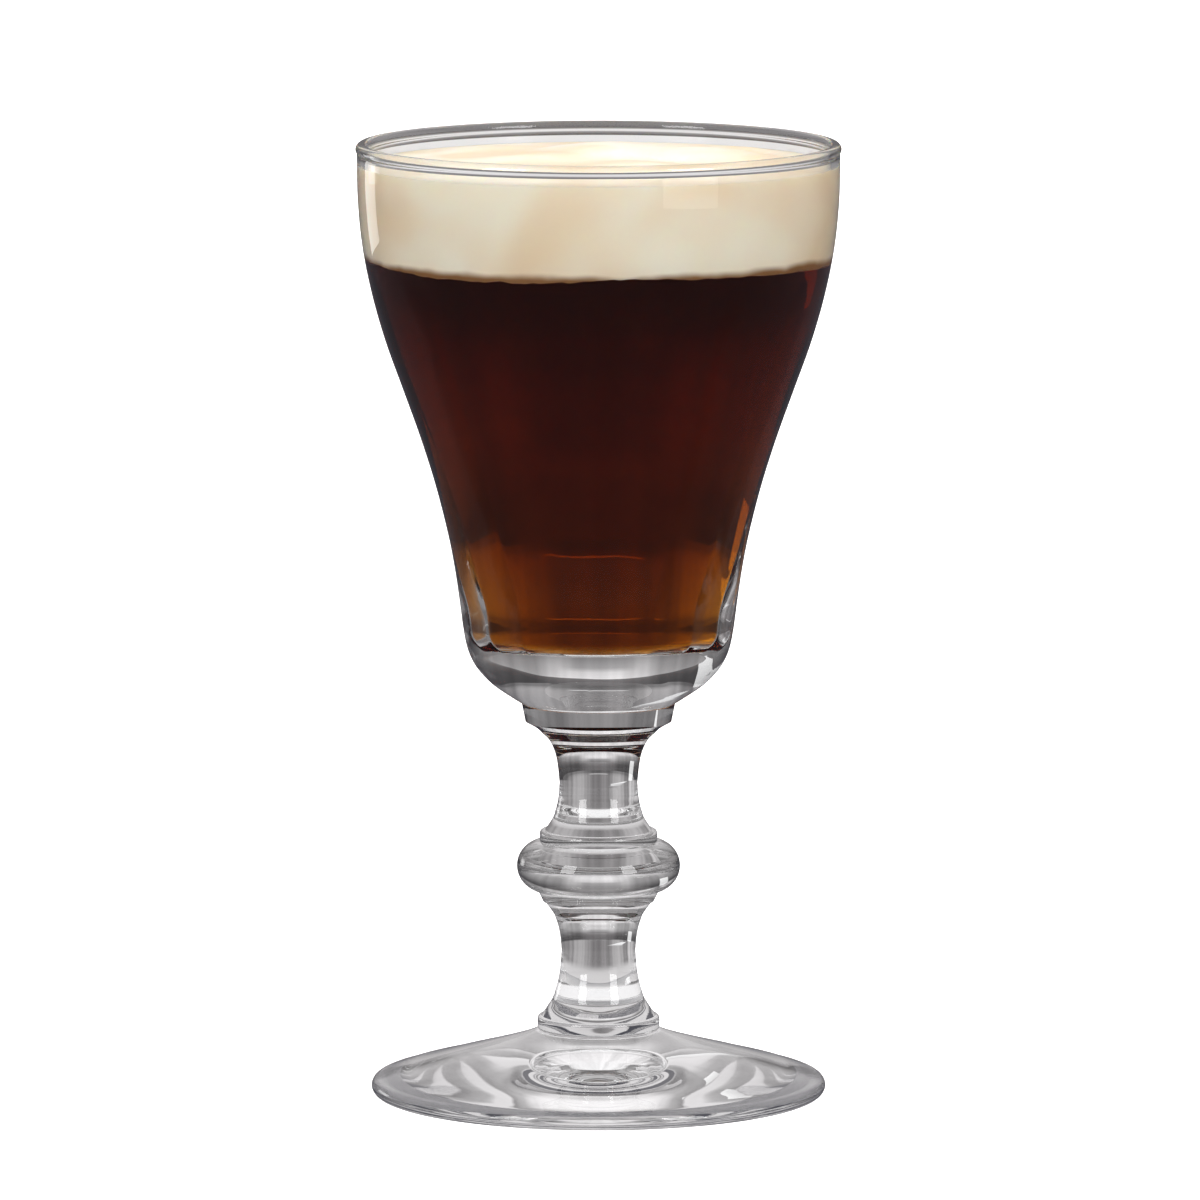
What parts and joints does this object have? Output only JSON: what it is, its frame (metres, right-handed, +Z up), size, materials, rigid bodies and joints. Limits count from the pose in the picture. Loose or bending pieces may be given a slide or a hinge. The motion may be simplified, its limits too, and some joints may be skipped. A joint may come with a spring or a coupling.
{
  "type": "irish coffee glass",
  "caption": "Clear stemmed glass with a knopped stem, a wide round foot and flat panels pressed inside the bowl, filled with coffee under a cap of cream.",
  "frame": {"origin": "centre of the foot's underside, on the surface that the glass stands on", "axes": "+Z up along the axis of the glass; the picture looks along +Y with +X to the right"},
  "size_m": [0.073, 0.073, 0.1445],
  "materials": {
    "clear_glass": "fire-polished clear soda-lime glass",
    "coffee": "still dark liquid, amber where it is thin",
    "cream": "soft whipped cream, satin"
  },
  "bodies": {
    "root": {"foot": "clear_glass", "foot_merese": "clear_glass", "lower_stem": "clear_glass", "knop": "clear_glass", "upper_stem": "clear_glass", "bowl_merese": "clear_glass", "bowl": "clear_glass", "coffee": "coffee", "cream": "cream"}
  },
  "joints": []
}
